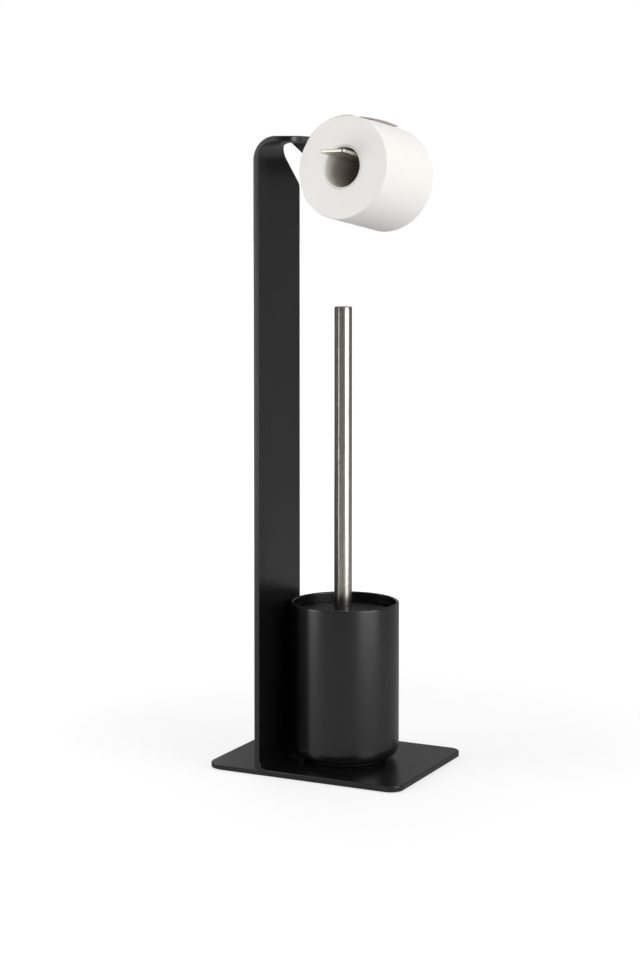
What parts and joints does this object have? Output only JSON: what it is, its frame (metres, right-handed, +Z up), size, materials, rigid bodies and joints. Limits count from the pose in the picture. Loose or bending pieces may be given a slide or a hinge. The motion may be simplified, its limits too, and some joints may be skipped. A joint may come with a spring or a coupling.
{
  "type": "toilet paper holder",
  "caption": "Free-standing toilet paper holder: bent flat steel strip on a rectangular base, paper roll on a stainless bar, and a brush standing in a round cup.",
  "frame": {"origin": "centre of the anti-slip mat's underside, where the holder stands on the floor", "axes": "+Z up, the longest extent; -Y is the front, where the bar's free end points; +X is towards the cup and roll"},
  "size_m": [0.2285, 0.1947, 0.7058],
  "materials": {
    "black_powder_coat": "satin powder coat",
    "brushed_stainless": "fine lengthwise brushing",
    "black_plastic": "satin moulding",
    "black_rubber": "matte",
    "black_foam": "matte closed-cell foam",
    "black_bristle": "nylon filaments",
    "tissue_paper": "soft embossed tissue",
    "grey_cardboard": "spiral wound cardboard"
  },
  "bodies": {
    "frame": {"base_mat": "black_foam", "base_plate": "black_powder_coat", "frame_strip": "black_powder_coat", "foot_weld": "black_powder_coat", "roll_bar": "brushed_stainless", "bar_screw_1": "brushed_stainless", "bar_screw_2": "brushed_stainless"},
    "roll": {"toilet_paper": "tissue_paper", "paper_core": "grey_cardboard"},
    "cup": {"brush_cup": "black_powder_coat", "cup_foot": "black_rubber", "cup_liner": "black_plastic"},
    "brush": {"handle_tube": "brushed_stainless", "handle_cap": "brushed_stainless", "handle_insert": "black_plastic", "brush_stem": "black_plastic", "splash_lid": "black_plastic", "brush_head": "black_plastic", "brush_bristles": "black_bristle"}
  },
  "joints": [
    {"name": "roll_spin", "type": "hinge", "parent": "frame", "child": "roll", "pos_m": [0.0477, -0.0849, 0.6514], "axis": [0.1323, 0.9798, -0.1499], "continuous": true},
    {"name": "cup_slide", "type": "slide", "parent": "frame", "child": "cup", "axis": [0, -1, 0], "range_m": [0, 0.18]},
    {"name": "brush_lift", "type": "slide", "parent": "cup", "child": "brush", "axis": [0, 0, 1], "range_m": [0, 0.09]}
  ]
}
